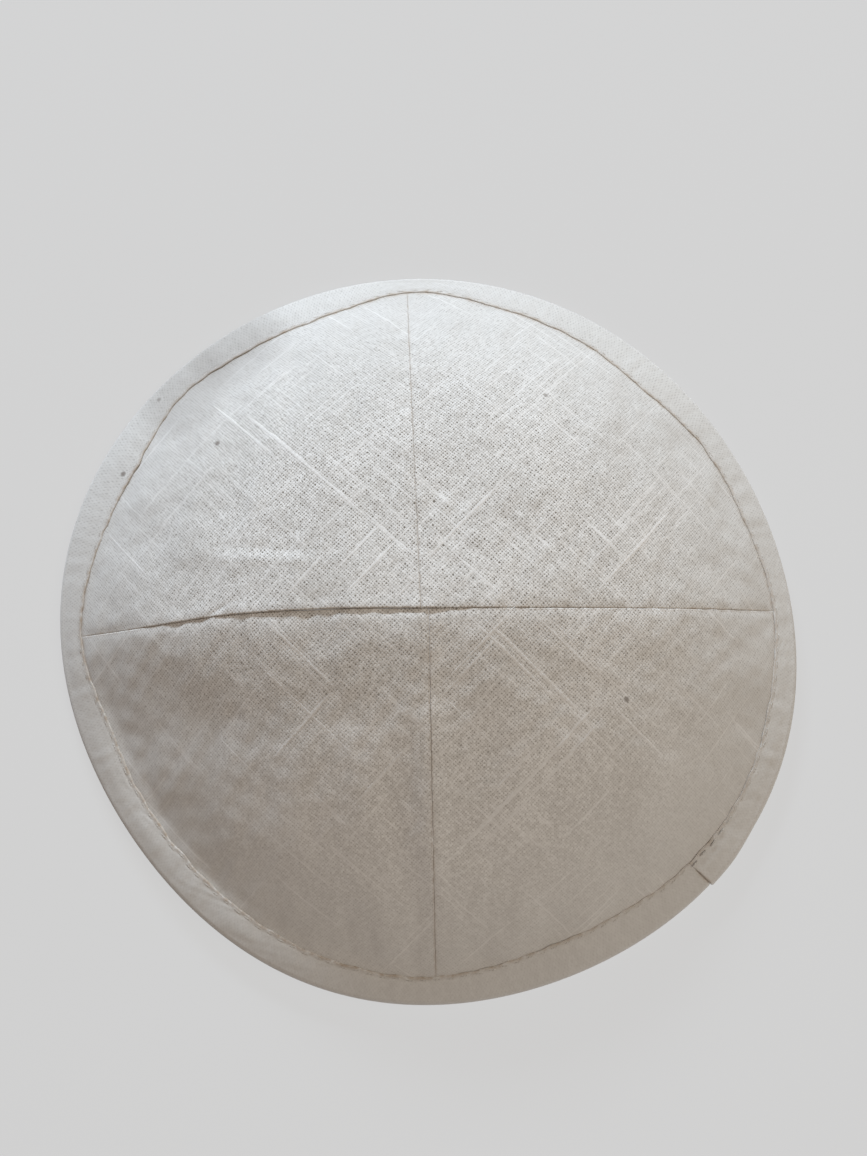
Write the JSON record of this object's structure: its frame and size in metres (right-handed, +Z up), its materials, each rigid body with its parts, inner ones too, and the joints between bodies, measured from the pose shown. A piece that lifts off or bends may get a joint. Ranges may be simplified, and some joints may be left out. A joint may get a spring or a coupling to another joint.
{
  "type": "kippah skullcap",
  "caption": "Shallow round cloth skullcap sewn from gore panels, with a tape folded over its rim; open and hollow underneath to sit on the crown of a head.",
  "frame": {"origin": "on the surface that the rim rests on, below the middle of the cap's outline", "axes": "+Z up through the crown, +Y to the back of the cap (the top of the picture), +X to the wearer's right"},
  "size_m": [0.166, 0.1648, 0.032],
  "materials": {
    "linen_cloth": "natural white slub linen, plain weave cut on the bias, matte",
    "linen_tape": "natural white linen tape, folded over the rim and stitched near its inner edge, matte"
  },
  "bodies": {
    "root": {"panel_back_left": "linen_cloth", "panel_back_right": "linen_cloth", "panel_front_left": "linen_cloth", "panel_front_right": "linen_cloth", "rim_binding": "linen_tape"}
  },
  "joints": []
}
